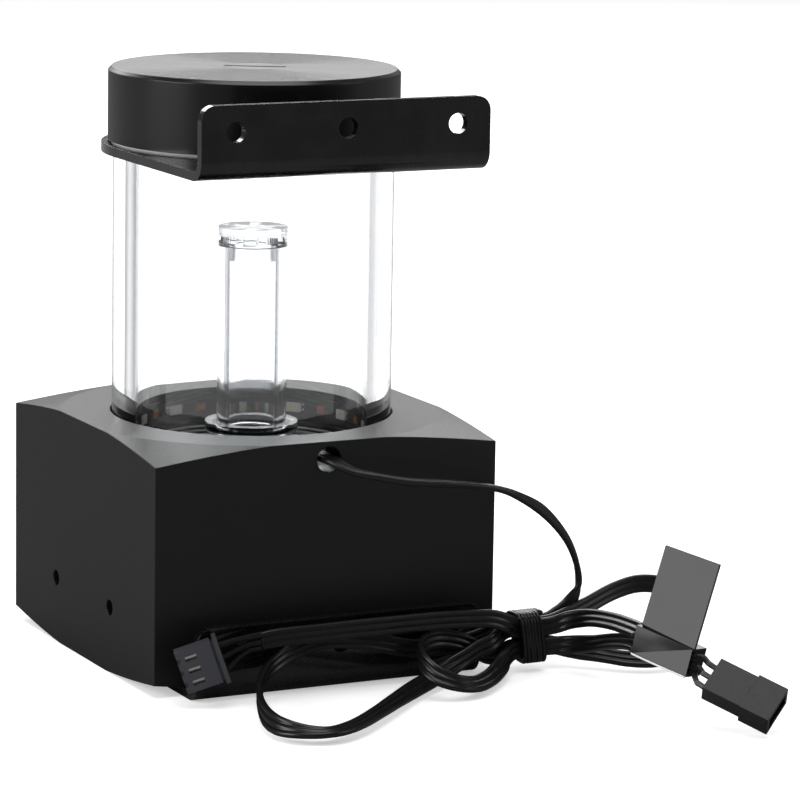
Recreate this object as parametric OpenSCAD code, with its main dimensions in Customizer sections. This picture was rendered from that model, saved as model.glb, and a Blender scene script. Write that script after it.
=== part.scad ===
// Coolant pump reservoir: a square base block with a wet-rotor pump inside, a clear tube
// screwed into its top, a turned lid, two mounting brackets and a lighting cable.
// Origin on the tube's axis at the base's underside; the brackets face -Y.

/* [Base block] */
// Side of the square base block
block_w = 78; // [72:1:110]
// Height of the base block
block_h = 51; // [49:0.5:70]
// Radius where the turned top and bottom edges begin
edge_turn_r = 41; // [36:0.5:60]
// Slope of the turned edges, in degrees
edge_slope = 11; // [4:1:30]
// Depth of the thread seat that the tube screws into, below the top face
seat_depth = 12; // [10:0.5:16]
// Diameter of the hole for the lighting cable
cable_hole_d = 5.5; // [5:0.25:8]
// Distance of the cable hole's centre below the top face
cable_hole_drop = 3.8; // [3.4:0.1:6]

/* [Tube] */
// Outer diameter of the clear tube
tube_od = 60; // [50:1:64]
// Wall of the clear tube
tube_wall = 5; // [4:0.5:7]
// Height of the tube's shoulder above the block's top face
tube_rise = 56; // [45:1:220]
// How far the threaded neck is turned down from the tube's outside, per side
neck_step = 2; // [1.5:0.25:3]
// Length of the threaded neck above the shoulder
neck_len = 9.4; // [7:0.2:14]

/* [Lid] */
// Height of the lid
lid_h = 15.5; // [14:0.5:24]
// How far the lid stands proud of the tube, per side
lid_proud = 1.1; // [0.5:0.1:4]
// Thickness of the lid's roof
lid_roof = 7; // [6.6:0.2:12]
// Chamfer round the lid's top edge
lid_chamfer = 0.8; // [0.3:0.1:2]
// Thickness of the washer under the lid
washer_t = 0.5; // [0.3:0.1:1.5]
// Pitch diameter of the lid's fill port, a quarter-inch pipe thread
fill_port_d = 13.2; // [12:0.1:18]
// Length of the fill plug
plug_len = 4.5; // [3.5:0.25:5]
// Width of the plug's coin slot
plug_slot_w = 1.6; // [1:0.1:3]

/* [Brackets] */
// Width of both brackets
bracket_w = 65; // [62:1:80]
// Sheet thickness of the brackets
sheet_t = 2; // [1.5:0.25:3]
// Distance from the axis to the outer face of the flanges
flange_reach = 46; // [44:0.5:60]
// Height of the flanges
flange_h = 15.5; // [13:0.5:30]
// Inside radius of the bend
bend_r = 2; // [1:0.25:4]
// Radius of the flanges' free corners
flange_corner_r = 3; // [1:0.5:5]
// Diameter of the flange holes
flange_hole_d = 4.3; // [3.2:0.1:5.5]
// Spacing of the flange holes
flange_hole_pitch = 25; // [18:1:27]
// Height of the flange holes above the plate's underside
flange_hole_z = 10; // [7.5:0.5:11]

/* [Riser] */
// Outer diameter of the riser tube
riser_od = 15; // [12:0.5:18]
// Bore of the riser tube
riser_id = 10; // [8:0.5:11]
// Height of the riser's top above the block's top face
riser_rise = 40; // [25:1:48]
// Diameter of the riser's foot flange
riser_foot_d = 20; // [18:0.5:26]
// Thickness of the riser's foot flange
riser_foot_t = 2; // [1.5:0.25:3]
// Number of windows in the riser's cap
cap_windows = 6; // [4:1:8]

/* [Lighting] */
// Number of lamps on the strip
lamp_count = 10; // [6:1:11]
// Distance between lamps along the strip
lamp_pitch = 16.7; // [14:0.1:17]
// Width of the lighting strip
strip_w = 5; // [4:0.5:5.5]

/* [Ports and fixings] */
// Thread diameter of the coolant ports
port_d = 13.2; // [12:0.1:16]
// Depth of the coolant ports
port_depth = 7.5; // [6:0.25:7.5]
// Diameter of the drilled coolant channels
channel_d = 5.5; // [4:0.25:6]
// Thread diameter of the side fixing holes
side_hole_d = 3.4; // [2.5:0.1:4.5]
// Spacing of the side fixing holes
side_hole_pitch = 30; // [20:1:34]
// Height of the side fixing holes
side_hole_z = 14; // [8:0.5:20]

/* [Pump] */
// Diameter of the pocket that holds the pump
pump_pocket_d = 54; // [52:0.5:55]
// Height of the pump's top face above the base
pump_top = 25; // [23:0.5:26]
// Diameter of the impeller
impeller_d = 35; // [30:0.5:36]
// Number of impeller vanes
vane_count = 6; // [4:1:8]
// Number of stator teeth
tooth_count = 6; // [6:3:9]

/* [Cable] */
// Width of the flat three-wire cable
ribbon_w = 4; // [3:0.1:5]
// Thickness of the flat three-wire cable
ribbon_t = 1.3; // [1:0.05:1.4]

/* [Hidden] */
$fn = 96;
small_fn = 32;
cut = 0.5; // how far a cutting shape runs past the face it opens
fit = 0.05; // clearance of turned running fits, per side
seat_gap = 0.05; // clearance either side of a compressed seal that moves

// Levels
seat_z = block_h - seat_depth;
groove_bottom_z = seat_z + 4.5;
groove_top_z = block_h - 1.5;
shoulder_z = block_h + tube_rise;
plate_top_z = shoulder_z + sheet_t;
lid_z = plate_top_z + washer_t;
lid_top_z = lid_z + lid_h;
lid_roof_z = lid_top_z - lid_roof;
neck_top_z = shoulder_z + neck_len;

// Radii
tube_r = tube_od / 2;
bore_r = tube_r - tube_wall;
neck_r = tube_r - neck_step;
groove_r = tube_r + 2;
lip_r = tube_r + 0.4;
lid_r = tube_r + lid_proud;
strip_t = 0.5;

// Seals
seal_r = 0.8;
seat_seal_r = (bore_r + tube_r) / 2;
lid_seal_d = lid_roof_z - neck_top_z - 2 * seat_gap;
plug_seal_r = 0.6;

// Cable hole and the fixed places that the cable starts from
cable_z = block_h - cable_hole_drop;

module ring(outer, inner, height) {
    difference() {
        cylinder(r = outer, h = height);
        translate([0, 0, -cut])
            cylinder(r = inner, h = height + 2 * cut);
    }
}

module o_ring(centre_r, cord_r, z) {
    translate([0, 0, z])
        rotate_extrude()
            translate([centre_r, 0])
                circle(r = cord_r, $fn = 12);
}

// A bar along +Y from y0 to y1, round
module bar_y(x, z, r, y0, y1) {
    translate([x, y0, z])
        rotate([-90, 0, 0])
            cylinder(r = r, h = y1 - y0, $fn = 48);
}

module bar_x(y, z, r, x0, x1) {
    translate([x0, y, z])
        rotate([0, 90, 0])
            cylinder(r = r, h = x1 - x0, $fn = 48);
}

// ---------------------------------------------------------------- base block

boss_r = riser_foot_d / 2 - 1.5;
riser_foot_z = block_h - riser_foot_t - 2;
spigot_r = riser_id / 2 + 1.5;
spigot_len = 5.5;
volute_r = impeller_d / 2 + 1.5;
volute_h = 6;
volute_top_z = pump_top + volute_h;
channel_z = volute_top_z + 1.2 + channel_d / 2;
outlet_y = volute_r - channel_d / 2 - 0.2;
outlet_z = pump_top + volute_h / 2;
suction_r = 2.6;
suction_in_r = 13;
suction_out_r = 5;
suction_slant = atan((suction_in_r - suction_out_r) / (seat_z - volute_top_z));
screw_ring_r = 29.8;
screw_r = 1.5;
screw_len = 9;
side_hole_depth = 7;
lead_hole_r = 2.5;
lead_hole_z = sheet_t + 3.5;

// Square prism whose corners are turned off top and bottom to a shallow cone
module block_body() {
    corner_r = block_w;
    drop = (corner_r - edge_turn_r) * tan(edge_slope);
    intersection() {
        translate([-block_w / 2, -block_w / 2, 0])
            cube([block_w, block_w, block_h]);
        rotate_extrude($fn = 128)
            polygon([[0, 0], [edge_turn_r, 0], [corner_r, drop],
                [corner_r, block_h - drop], [edge_turn_r, block_h], [0, block_h]]);
    }
}

module plate_outline(grow) {
    circle(r = bracket_w / 2 + grow, $fn = 128);
    translate([-bracket_w / 2 - grow, -block_w])
        square([bracket_w + 2 * grow, block_w]);
}

module screw_places() {
    for (a = [45 : 90 : 315])
        rotate(a)
            translate([screw_ring_r, 0, 0])
                children();
}

module tube_seat_cuts() {
    translate([0, 0, seat_z])
        cylinder(r = tube_r + fit, h = block_h);
    translate([0, 0, groove_bottom_z])
        cylinder(r = groove_r, h = groove_top_z - groove_bottom_z);
    translate([0, 0, groove_top_z])
        cylinder(r = lip_r, h = block_h);
    translate([0, 0, seat_z - 2 * seal_r])
        difference() {
            cylinder(r = seat_seal_r + seal_r * 1.6, h = 4 * seal_r);
            translate([0, 0, -cut])
                cylinder(r = seat_seal_r - seal_r * 1.6, h = 4 * seal_r + 2 * cut);
        }
}

module coolant_cuts() {
    // pump pocket and the round chamber that the impeller turns in
    translate([0, 0, -cut])
        cylinder(r = pump_pocket_d / 2, h = pump_top + cut);
    translate([0, 0, pump_top - cut])
        cylinder(r = volute_r, h = volute_h + cut);
    // outlet, off the side of the chamber
    bar_x(outlet_y, outlet_z, channel_d / 2, 0, block_w / 2 - port_depth + cut);
    bar_x(outlet_y, outlet_z, port_d / 2, block_w / 2 - port_depth, block_w / 2 + cut);
    // inlet, along the floor to the riser
    bar_y(0, channel_z, channel_d / 2, 0, block_w / 2 - port_depth + cut);
    bar_y(0, channel_z, port_d / 2, block_w / 2 - port_depth, block_w / 2 + cut);
    translate([0, 0, channel_z - channel_d / 2 - 0.4])
        cylinder(r = riser_id / 2 - 1, h = riser_foot_z - channel_z);
    // suction, slanted from the reservoir's floor to the impeller's eye
    for (side = [0, 180])
        rotate(side)
            translate([suction_out_r, 0, volute_top_z])
                rotate([0, suction_slant, 0])
                    translate([0, 0, -suction_r - cut])
                        cylinder(r = suction_r, h = (seat_z - volute_top_z) / cos(suction_slant)
                            + 2 * suction_r + 2 * cut, $fn = 48);
}

module base_block() {
    color("#1b1b1d")
    difference() {
        union() {
            difference() {
                block_body();
                tube_seat_cuts();
            }
            translate([0, 0, seat_z - cut])
                cylinder(r = boss_r, h = riser_foot_z - seat_z + cut);
        }
        coolant_cuts();
        translate([0, 0, riser_foot_z - spigot_len - 0.5])
            cylinder(r = spigot_r + fit, h = block_h);
        // pocket that takes the lower bracket flush
        translate([0, 0, -cut])
            linear_extrude(sheet_t + cut)
                plate_outline(0.15);
        screw_places()
            cylinder(r = screw_r + fit, h = screw_len + 1, $fn = small_fn);
        bar_y(0, cable_z, cable_hole_d / 2, -block_w / 2 - cut, -tube_r);
        for (y = [-side_hole_pitch / 2, side_hole_pitch / 2])
            bar_x(y, side_hole_z, side_hole_d / 2, -block_w / 2 - cut, -block_w / 2 + side_hole_depth);
        bar_y(0, lead_hole_z, lead_hole_r, 0, block_w / 2 + cut);
    }
}

// --------------------------------------------------------------- clear pieces

module reservoir_tube() {
    color("#dfe9ee", 0.35)
    difference() {
        union() {
            translate([0, 0, seat_z])
                cylinder(r = tube_r, h = shoulder_z - seat_z);
            translate([0, 0, shoulder_z - cut])
                cylinder(r = neck_r, h = neck_len + cut);
        }
        translate([0, 0, seat_z - cut])
            cylinder(r = bore_r, h = neck_top_z - seat_z + 2 * cut);
    }
}

module tube_seat_o_ring() {
    color("#151515")
    o_ring(seat_seal_r, seal_r, seat_z - seal_r);
}

cap_h = 4;
cap_disc_t = 1.8;
cap_foot_h = 0.6;
cap_wall = 2.3;
cap_plug_h = 3;
riser_top_z = block_h + riser_rise;
riser_tube_top_z = riser_top_z - cap_h;

module riser_tube() {
    color("#e4edf1", 0.35)
    difference() {
        union() {
            translate([0, 0, riser_foot_z - spigot_len])
                cylinder(r = spigot_r, h = spigot_len + cut);
            translate([0, 0, riser_foot_z])
                cylinder(r = riser_foot_d / 2, h = riser_foot_t);
            translate([0, 0, riser_foot_z])
                cylinder(r = riser_od / 2, h = riser_tube_top_z - riser_foot_z);
        }
        translate([0, 0, riser_foot_z - spigot_len - cut])
            cylinder(r = riser_id / 2, h = riser_tube_top_z);
    }
}

// Disc on a castellated ring; the windows let the returning coolant out sideways
module riser_cap() {
    color("#e4edf1", 0.35)
    difference() {
        union() {
            translate([0, 0, riser_tube_top_z])
                cylinder(r = riser_od / 2, h = cap_h);
            translate([0, 0, riser_tube_top_z - cap_plug_h])
                cylinder(r = riser_id / 2 - fit, h = cap_plug_h + cut);
        }
        translate([0, 0, riser_tube_top_z - cap_plug_h - cut])
            cylinder(r = riser_id / 2 - 1, h = cap_plug_h + cap_h - cap_disc_t + cut);
        for (i = [0 : cap_windows - 1])
            rotate(i * 360 / cap_windows)
                translate([0, -1.3, riser_tube_top_z + cap_foot_h])
                    cube([riser_od, 2.6, cap_h - cap_disc_t - cap_foot_h]);
        translate([0, 0, riser_top_z - 0.8])
            cylinder(r = 0.8, h = 1, $fn = small_fn);
    }
}

// ------------------------------------------------------------------- lighting

lamp_angle = lamp_pitch / groove_r * 180 / PI;
strip_angle = lamp_angle * lamp_count;
lamp_z = groove_bottom_z + 0.5 + strip_w / 2 + 0.2;

module lighting_strip() {
    color("#1c1a18")
    rotate(90 - strip_angle / 2)
        translate([0, 0, groove_bottom_z + 0.5])
            rotate_extrude(angle = strip_angle)
                translate([groove_r - strip_t, 0])
                    square([strip_t, strip_w]);
}

// Repeats a piece along the strip, on its inner face
module along_strip(count) {
    for (i = [0 : count - 1])
        rotate(90 + (i - (count - 1) / 2) * lamp_angle)
            children();
}

module strip_block(width, depth, height) {
    seat_r = groove_r - strip_t;
    span = width / seat_r * 180 / PI;
    rotate(-span / 2)
        translate([0, 0, lamp_z - height / 2])
            rotate_extrude(angle = span)
                translate([seat_r - depth, 0])
                    square([depth, height]);
}

module lamps() {
    color("#efeeea")
    along_strip(lamp_count)
        strip_block(4.2, 1, 2);
}

module strip_capacitors() {
    color("#b0623c")
    along_strip(lamp_count - 1)
        strip_block(2.6, 0.6, 1.6);
}

// ------------------------------------------------------------------------ lid

plug_r = fill_port_d / 2 - fit;
plug_bore_depth = plug_len + 2 * plug_seal_r + 2 * seat_gap;
plug_z = lid_top_z - plug_len;
plug_seal_z = plug_z - seat_gap - plug_seal_r;
plug_seal_centre_r = plug_r - plug_seal_r - 0.8;
fill_hole_r = 4.2;

module lid() {
    color("#232325")
    difference() {
        rotate_extrude($fn = 128)
            polygon([[0, lid_z], [lid_r, lid_z], [lid_r, lid_top_z - lid_chamfer],
                [lid_r - lid_chamfer, lid_top_z], [0, lid_top_z]]);
        translate([0, 0, lid_z - cut])
            cylinder(r = neck_r + fit, h = lid_roof_z - lid_z + cut);
        translate([0, 0, lid_top_z - plug_bore_depth])
            cylinder(r = fill_port_d / 2, h = plug_bore_depth + cut);
        translate([0, 0, lid_roof_z - cut])
            cylinder(r = fill_hole_r, h = lid_roof);
    }
}

module lid_o_ring() {
    color("#141414")
    o_ring((bore_r + neck_r) / 2, lid_seal_d / 2, neck_top_z + seat_gap + lid_seal_d / 2);
}

module lid_washer() {
    color("#e9edf0", 0.7)
    translate([0, 0, plate_top_z])
        ring(tube_r + 0.3, neck_r + 0.2, washer_t);
}

module fill_plug() {
    color("#262628")
    difference() {
        translate([0, 0, plug_z])
            cylinder(r = plug_r, h = plug_len);
        rotate(-30)
            translate([-fill_port_d, -plug_slot_w / 2, lid_top_z - 2])
                cube([2 * fill_port_d, plug_slot_w, 2 + cut]);
    }
}

module fill_plug_o_ring() {
    color("#141414")
    o_ring(plug_seal_centre_r, plug_seal_r, plug_seal_z);
}

// ------------------------------------------------------------------- brackets

// Side view of the bent sheet: plate from y_in to the bend, flange outer face at -flange_reach
module bend_profile(y_in) {
    outer = bend_r + sheet_t;
    centre = [-flange_reach + outer, outer];
    translate([centre[0], 0])
        square([y_in - centre[0], sheet_t]);
    translate([-flange_reach, outer])
        square([sheet_t, flange_h - outer]);
    intersection() {
        difference() {
            translate(centre) circle(r = outer, $fn = 64);
            translate(centre) circle(r = bend_r, $fn = 64);
        }
        translate([-flange_reach, 0])
            square([outer, outer]);
    }
}

// Face view of the flange with its free corners rounded
module flange_face() {
    translate([-bracket_w / 2, 0])
        square([bracket_w, flange_h - flange_corner_r]);
    translate([-bracket_w / 2 + flange_corner_r, 0])
        square([bracket_w - 2 * flange_corner_r, flange_h]);
    for (side = [-1, 1])
        translate([side * (bracket_w / 2 - flange_corner_r), flange_h - flange_corner_r])
            circle(r = flange_corner_r, $fn = 48);
}

module bracket(hole_r) {
    plate_front = flange_reach - bend_r - sheet_t;
    difference() {
        union() {
            linear_extrude(sheet_t)
                difference() {
                    circle(r = bracket_w / 2, $fn = 128);
                    translate([-bracket_w, -bracket_w])
                        square([2 * bracket_w, bracket_w]);
                }
            translate([-bracket_w / 2, -plate_front, 0])
                cube([bracket_w, plate_front, sheet_t]);
            intersection() {
                translate([-bracket_w / 2, 0, 0])
                    rotate([90, 0, 90])
                        linear_extrude(bracket_w)
                            bend_profile(-plate_front + cut);
                rotate([90, 0, 0])
                    linear_extrude(flange_reach + cut)
                        flange_face();
            }
        }
        translate([0, 0, -cut])
            cylinder(r = hole_r, h = sheet_t + 2 * cut);
        for (x = [-1 : 1])
            bar_y(x * flange_hole_pitch, flange_hole_z, flange_hole_d / 2,
                -flange_reach - cut, -flange_reach + sheet_t + cut);
    }
}

module upper_bracket() {
    color("#0e0e0f")
    translate([0, 0, shoulder_z])
        bracket(neck_r + 0.1);
}

pump_hole_r = 23;
screw_head_r = 2.8;
screw_head_h = screw_head_r - screw_r;

module lower_bracket() {
    color("#0e0e0f")
    difference() {
        bracket(pump_hole_r);
        screw_places() {
            translate([0, 0, -cut])
                cylinder(r = screw_r + fit, h = sheet_t + 2 * cut, $fn = small_fn);
            translate([0, 0, -0.01])
                cylinder(r1 = screw_head_r + fit, r2 = screw_r + fit, h = screw_head_h, $fn = small_fn);
        }
    }
}

module bracket_screws() {
    color("#3a3a3c")
    screw_places()
        difference() {
            union() {
                cylinder(r1 = screw_head_r, r2 = screw_r, h = screw_head_h, $fn = small_fn);
                cylinder(r = screw_r, h = screw_len, $fn = small_fn);
            }
            translate([0, 0, -cut])
                cylinder(r = 1.1, h = 1 + cut, $fn = 6);
        }
}

// ----------------------------------------------------------------------- pump

cover_t = 2;
housing_z = sheet_t + cover_t;
housing_r = pump_pocket_d / 2 - 2;
housing_wall = 2;
housing_flange_t = 4;
cavity_r = housing_r - housing_wall;
can_flange_r = 18;
can_flange_t = 1.5;
can_r = 16.2;
can_wall = 1.2;
can_bottom_z = 9;
pump_seal_r = 0.8;
pump_seal_centre_r = (can_flange_r + pump_pocket_d / 2) / 2 + 0.4;

module pump_housing() {
    color("#2b3038")
    difference() {
        union() {
            translate([0, 0, housing_z])
                cylinder(r = housing_r, h = pump_top - housing_z);
            translate([0, 0, pump_top - housing_flange_t])
                cylinder(r = pump_pocket_d / 2 - 0.2, h = housing_flange_t);
        }
        translate([0, 0, housing_z - cut])
            cylinder(r = cavity_r, h = pump_top - 2.5 - housing_z + cut);
        cylinder(r = can_r + fit, h = block_h);
        translate([0, 0, pump_top - can_flange_t])
            cylinder(r = can_flange_r + fit, h = can_flange_t + cut);
        translate([0, 0, pump_top - 2 * pump_seal_r])
            ring(pump_seal_centre_r + pump_seal_r * 1.3, pump_seal_centre_r - pump_seal_r * 1.3,
                2 * pump_seal_r + cut);
        // way out for the pump's own lead
        bar_y(0, lead_hole_z, 1.2, 0, block_w);
    }
}

module pump_o_ring() {
    color("#141414")
    o_ring(pump_seal_centre_r, pump_seal_r, pump_top - pump_seal_r);
}

module pump_end_cover() {
    color("#23272e")
    translate([0, 0, sheet_t])
        union() {
            difference() {
                cylinder(r = housing_r, h = cover_t);
                for (i = [0 : 5])
                    rotate(i * 60)
                        translate([pump_hole_r / 2, 0, -cut])
                            cylinder(r = 2, h = 1 + cut, $fn = small_fn);
            }
            translate([0, 0, cover_t - cut])
                difference() {
                    ring(cavity_r - fit, cavity_r - 1.6, 2.5 + cut);
                    bar_y(0, lead_hole_z - sheet_t - cover_t + cut, 1.2, 0, block_w);
                }
        }
}

// Cup that keeps the coolant and the rotor apart from the windings
module separating_can() {
    color("#c9ced2")
    difference() {
        union() {
            translate([0, 0, can_bottom_z])
                cylinder(r = can_r, h = pump_top - can_bottom_z);
            translate([0, 0, pump_top - can_flange_t])
                cylinder(r = can_flange_r, h = can_flange_t);
        }
        translate([0, 0, can_bottom_z + can_wall])
            cylinder(r = can_r - can_wall, h = pump_top);
    }
}

post_r = 2.5;
post_z = can_bottom_z + can_wall;
post_len = 6.5;
ball_r = 2.4;
ball_z = post_z + post_len + ball_r;
rotor_z = post_z + 0.8;
rotor_bore_top_z = ball_z + ball_r + seat_gap;

module bearing_post() {
    color("#f0efe9")
    translate([0, 0, post_z])
        cylinder(r = post_r, h = post_len, $fn = 48);
}

module bearing_ball() {
    color("#f5f4ef")
    translate([0, 0, ball_z])
        sphere(r = ball_r, $fn = 48);
}

stator_z = post_z + 0.8;
stator_h = 9.5;
core_in_r = cavity_r - 3;

module stator_core() {
    color("#6d7074")
    translate([0, 0, stator_z]) {
        ring(cavity_r, core_in_r, stator_h);
        for (i = [0 : tooth_count - 1])
            rotate(i * 360 / tooth_count)
                translate([0, -1.2, 0])
                    intersection() {
                        translate([can_r + 0.3, 0, 1])
                            cube([core_in_r - can_r, 2.4, stator_h - 2]);
                        translate([0, 1.2, 0])
                            cylinder(r = core_in_r + 0.3, h = stator_h);
                    }
    }
}

coil_len = core_in_r - can_r - 1.2;

module stator_coils() {
    color("#b4622c")
    translate([0, 0, stator_z])
        for (i = [0 : tooth_count - 1])
            rotate(i * 360 / tooth_count)
                translate([can_r + 0.6, -2.4, -0.3])
                    difference() {
                        cube([coil_len, 4.8, stator_h + 0.6]);
                        translate([-cut, 1.2, 1.3])
                            cube([coil_len + 2 * cut, 2.4, stator_h - 2]);
                    }
}

board_z = housing_z + 2.5;
board_t = 1.2;

module circuit_board() {
    color("#2f6b46")
    translate([0, 0, board_z]) {
        cylinder(r = cavity_r - 0.2, h = board_t);
        for (a = [20, 140, 260])
            rotate(a)
                translate([18.2, -2, -1.2])
                    cube([3, 4, 1.2 + cut]);
    }
}

core_r = 10;
magnet_r = can_r - can_wall - 0.6;
magnet_z = rotor_z + 0.3;
magnet_h = 11;
disc_z = pump_top + 0.4;
disc_t = 1;
vane_h = 3.8;
eye_r = 6;

// Backward-curved vanes: arcs cut from a ring that is off the axis
module vane() {
    arc_r = impeller_d / 4 + 1.5;
    intersection() {
        translate([impeller_d / 4 + 0.5, 0])
            difference() {
                circle(r = arc_r, $fn = 64);
                circle(r = arc_r - 1.1, $fn = 64);
            }
        translate([-impeller_d, 0])
            square([2 * impeller_d, impeller_d]);
        difference() {
            circle(r = impeller_d / 2 - 0.3);
            circle(r = eye_r);
        }
    }
}

module impeller() {
    color("#d8d6cf")
    difference() {
        union() {
            translate([0, 0, rotor_z])
                cylinder(r = core_r, h = disc_z - rotor_z + disc_t / 2);
            translate([0, 0, disc_z])
                cylinder(r = impeller_d / 2, h = disc_t);
            for (i = [0 : vane_count - 1])
                rotate(i * 360 / vane_count)
                    translate([0, 0, disc_z + disc_t / 2])
                        linear_extrude(vane_h + disc_t / 2)
                            vane();
            translate([0, 0, disc_z + disc_t / 2])
                cylinder(r1 = 4, r2 = 1.5, h = disc_t / 2 + 2, $fn = 48);
        }
        translate([0, 0, rotor_z - cut])
            cylinder(r = post_r + fit, h = rotor_bore_top_z - rotor_z + cut, $fn = 48);
    }
}

module rotor_magnet() {
    color("#4a4a4e")
    translate([0, 0, magnet_z])
        ring(magnet_r, core_r, magnet_h);
}

// ---------------------------------------------------------------------- cable

// Which way the cable's flat side faces: the side that is on the left when following the route
UP = [0, 0, 1];
FRONT = [0, -1, 0];
BACK = [0, 1, 0];
RIGHT = [1, 0, 0];
LEAN = [0, -1, 1];
UNDER = [0, 1, -1];
OUT = [0.9, -0.45, 0.3];

// Routes: [place, facing]
lighting_route = [
    [[0, -33, cable_z], UP], [[0, -38, cable_z], UP], [[0.5, -41, 47], UP], [[3, -44, 45.5], UP],
    [[7, -46, 44.5], UP], [[14, -47, 43], UP], [[22, -47, 42], UP], [[29, -46.5, 41], UP],
    [[36, -46, 39.5], UP], [[42, -45, 37], [0.4, -0.3, 1]], [[48.5, -44, 33], OUT], [[54, -43.5, 27], OUT],
    [[57, -43, 21], OUT], [[57.5, -43, 16], OUT], [[55, -43.5, 12.5], [0.5, -1, 0]], [[51.5, -44.5, 10.5], FRONT],
    // through the tie, then the upper side of the long loop, along the flange
    [[48, -44.8, 9.4], FRONT], [[40.5, -44.8, 9.4], FRONT], [[37, -45.3, 9.3], FRONT],
    [[33.5, -46.8, 8.7], FRONT], [[29, -46.8, 7.6], FRONT], [[22, -46.8, 7], FRONT],
    [[15, -46.8, 7.4], FRONT], [[8, -46.9, 9.3], FRONT], [[1, -47, 10.7], FRONT], [[-6, -47.2, 11], FRONT],
    [[-12, -47.7, 9.4], [0.2, -1, 0]], [[-17, -49.6, 7.6], [0.6, -1, 0]], [[-20.5, -52.7, 6.4], [1, -0.7, 0]],
    [[-23.5, -57, 5], [1, -0.3, -0.2]], [[-26.5, -64, 3.8], [1, -0.2, -0.5]], [[-28.5, -72, 3], [1, 0, -0.8]],
    [[-28, -78, 2.6], [1, 0.5, -0.9]], [[-24.5, -82.3, 2.4], [0.5, 0.8, -1]], [[-19.5, -83.6, 2.3], UNDER],
    [[-13, -80.5, 2.3], UNDER], [[-5, -73.8, 2.3], UNDER], [[3, -66.4, 2.3], UNDER], [[11, -59.4, 2.4], UNDER],
    [[17, -55, 2.7], UNDER], [[22, -52.3, 3.7], [0, 1, -0.5]], [[26, -51, 5], BACK], [[30, -50.2, 6.6], BACK],
    [[33.3, -49.9, 7.6], BACK], [[36.8, -47.6, 8.9], BACK],
    // through the tie, then the short loop behind the label
    [[40.5, -46.5, 9.4], BACK], [[48, -46.5, 9.4], BACK], [[53, -46, 10.5], BACK],
    [[59, -44.5, 12], BACK], [[66.5, -42.5, 14], BACK], [[73, -42, 15], [0.2, 1, 0]],
    [[78.5, -43.7, 14.3], [0.7, 1, 0]], [[81.3, -47, 12], [1, 0.3, 0.4]], [[80.8, -51.5, 9], [1, 0, 0]],
    [[77.5, -56, 6], [1, -1, 0.4]], [[73, -58.8, 4], [0.4, -1, 0.8]], [[67.5, -59.4, 2.9], LEAN],
    [[62.5, -57, 2.8], LEAN], [[58, -52.8, 3.2], LEAN], [[53, -48.7, 4], FRONT],
    // through the tie, then the small loop in front
    [[48, -46.5, 5], FRONT], [[40.5, -46.5, 5], FRONT], [[37, -46.7, 4.3], FRONT], [[33.5, -48.2, 4.4], FRONT],
    [[30, -48.4, 6.4], FRONT], [[26, -48.4, 8.3], FRONT], [[21.5, -48.5, 9.2], [0.1, -1, 0]],
    [[17, -50.6, 9.1], [0.7, -1, 0]], [[14.2, -54.5, 8.2], [1, -0.4, 0]], [[13.2, -58.5, 6.8], [1, 0, -0.3]],
    [[14.3, -62, 5.2], [1, 0.7, -0.7]], [[17.8, -64.2, 3.8], [0.3, 1, -1]], [[22.5, -63.4, 2.9], UNDER],
    [[27.5, -59.7, 2.7], UNDER], [[32, -55.2, 3], UNDER], [[36.3, -50.8, 4.2], BACK],
    // through the tie and forward to the label's sleeve
    [[40.5, -48.2, 5], BACK], [[48, -48.2, 5], BACK], [[51.5, -51, 5.6], [1, 1, -0.3]],
    [[53, -57, 7], [1, 0.2, -0.6]], [[53, -66, 9.6], [1, 0, -0.9]], [[52.2, -75, 11.6], [1, 0, -1]],
    [[52, -78.85, 11.9], [1, 0, -1]]];
tail_route = [
    [[52, -78.85, 14.8], [-1, 0, 1]], [[52.2, -75, 14.7], [-1, 0, 1]], [[53, -66, 13.9], [-1, 0, 0.9]],
    [[53, -57, 12.6], [-1, -0.2, 0.6]], [[51.5, -51, 11], [-1, -1, 0.2]], [[48, -48.2, 9.4], FRONT],
    [[40.5, -48.2, 9.4], FRONT], [[37, -50, 11.3], FRONT], [[33, -50.5, 12.8], FRONT], [[27, -50.4, 13.3], FRONT],
    [[19, -50.4, 13.6], FRONT], [[10, -50.3, 13.6], FRONT], [[1, -50.2, 13.6], FRONT], [[-7, -50.2, 13.5], FRONT],
    [[-12, -50.2, 13.5], FRONT], [[-16.5, -50.1, 13.4], FRONT], [[-20, -50, 13], FRONT]];

function unit(v) = v / norm(v);
function near(list, i) = list[max(0, min(len(list) - 1, i))];

// One ring of the flat cable: an octagon, wide across the facing direction
function ribbon_ring(route, i) =
    let (place = route[i][0],
        along = unit(near(route, i + 1)[0] - near(route, i - 1)[0]),
        across = unit(cross(along, route[i][1])),
        face = cross(across, along),
        w = ribbon_w / 2, t = ribbon_t / 2)
    [for (p = [[w, t / 2], [w - t / 2, t], [t / 2 - w, t], [-w, t / 2],
        [-w, -t / 2], [t / 2 - w, -t], [w - t / 2, -t], [w, -t / 2]])
        place + across * p[0] + face * p[1]];

module sweep(rings) {
    sides = len(rings[0]);
    last = len(rings) - 1;
    polyhedron(
        points = [for (r = rings) for (p = r) p],
        faces = concat(
            [[for (k = [sides - 1 : -1 : 0]) k]],
            [for (i = [0 : last - 1]) for (k = [0 : sides - 1])
                let (a = i * sides + k, b = i * sides + (k + 1) % sides)
                each [[a, b, b + sides], [a, b + sides, a + sides]]],
            [[for (k = [0 : sides - 1]) last * sides + k]]));
}

module ribbon(route) {
    sweep([for (i = [0 : len(route) - 1]) ribbon_ring(route, i)]);
}

module lighting_cable() {
    color("#121213")
    ribbon(lighting_route);
}

module tail_cable() {
    color("#121213")
    ribbon(tail_route);
}

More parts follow.
